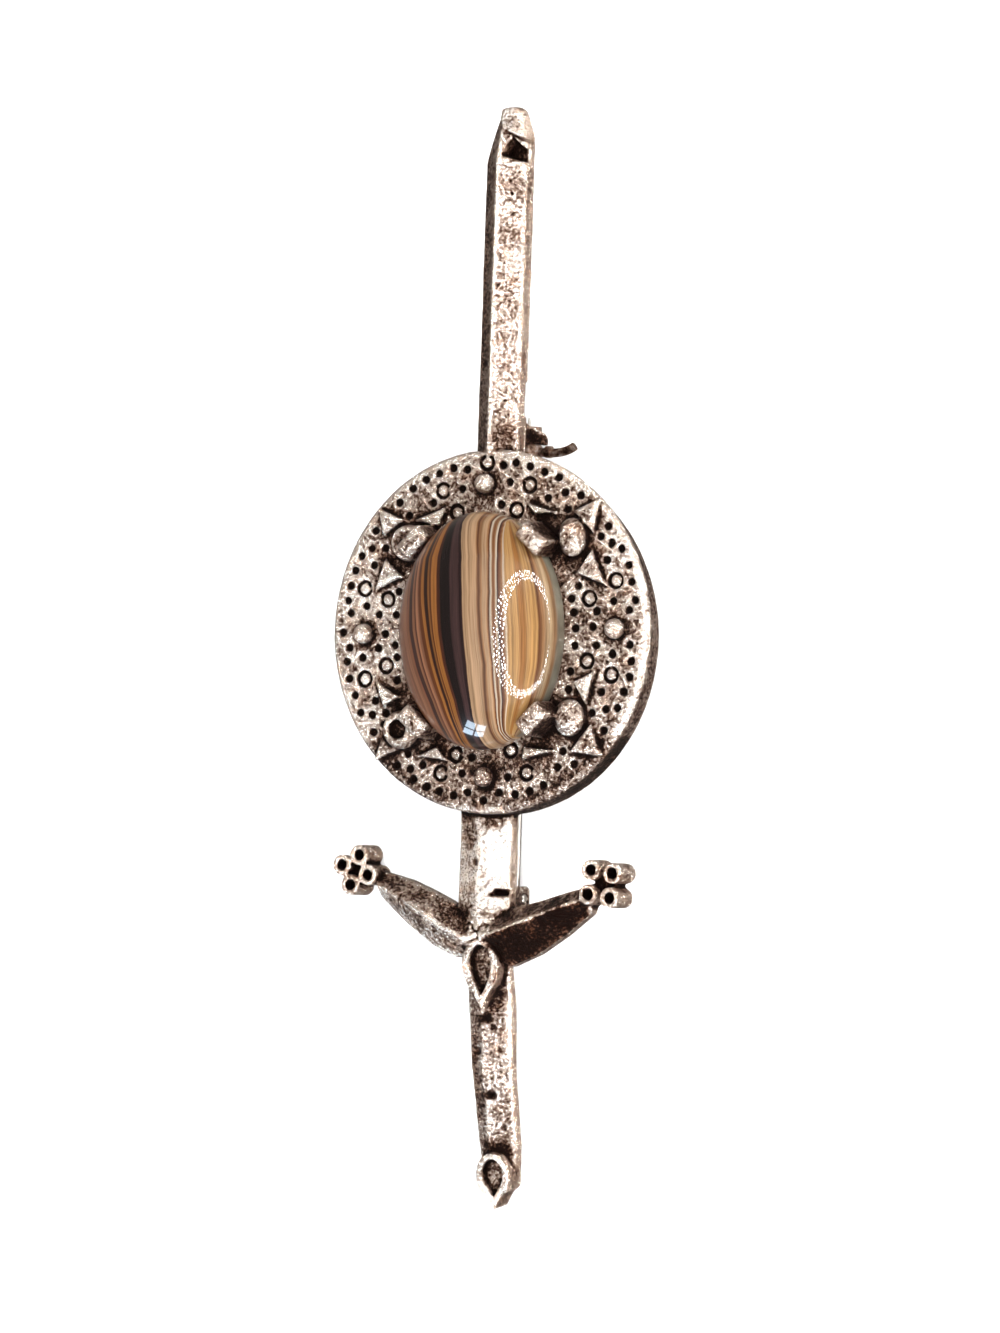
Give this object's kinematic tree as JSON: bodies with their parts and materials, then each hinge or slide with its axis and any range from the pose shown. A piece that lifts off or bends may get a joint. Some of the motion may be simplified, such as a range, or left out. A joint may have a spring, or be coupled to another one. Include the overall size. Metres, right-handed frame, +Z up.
{
  "type": "brooch",
  "caption": "Sword brooch in antiqued white metal: a blade behind a round shield with an oval banded cabochon in claws, and a hinged pin with a turning catch on the back.",
  "frame": {"origin": "centre of the bounding box in X and Y, on the surface that the brooch rests on", "axes": "+Y along the sword towards its tip, +Z up from the surface, +X towards the shield's raised side; the back faces down"},
  "size_m": [0.0292, 0.0928, 0.0149],
  "materials": {
    "antiqued_silver": "antiqued cast white metal, dark in the recesses, worn bright on the edges",
    "banded_agate": "polished banded agate, brown, caramel and cream",
    "steel": "drawn wire, satin",
    "catch_brass": "plated brass, tarnished"
  },
  "bodies": {
    "body": {"cast_body": "antiqued_silver", "cabochon": "banded_agate", "hinge_rivet": "steel"},
    "pin": {"pin_stem": "steel"},
    "lock": {"catch_lock": "catch_brass"}
  },
  "joints": [
    {"name": "pin_swing", "type": "hinge", "parent": "body", "child": "pin", "pos_m": [0.00072, -0.02007, 0.00135], "axis": [-0.9331, 0.0384, -0.3575], "range_deg": [0, 65]},
    {"name": "lock_turn", "type": "hinge", "parent": "body", "child": "lock", "pos_m": [0.00072, -0.02007, 0.00135], "axis": [0.0379, 0.9992, 0.0084], "range_deg": [0, 80]}
  ]
}
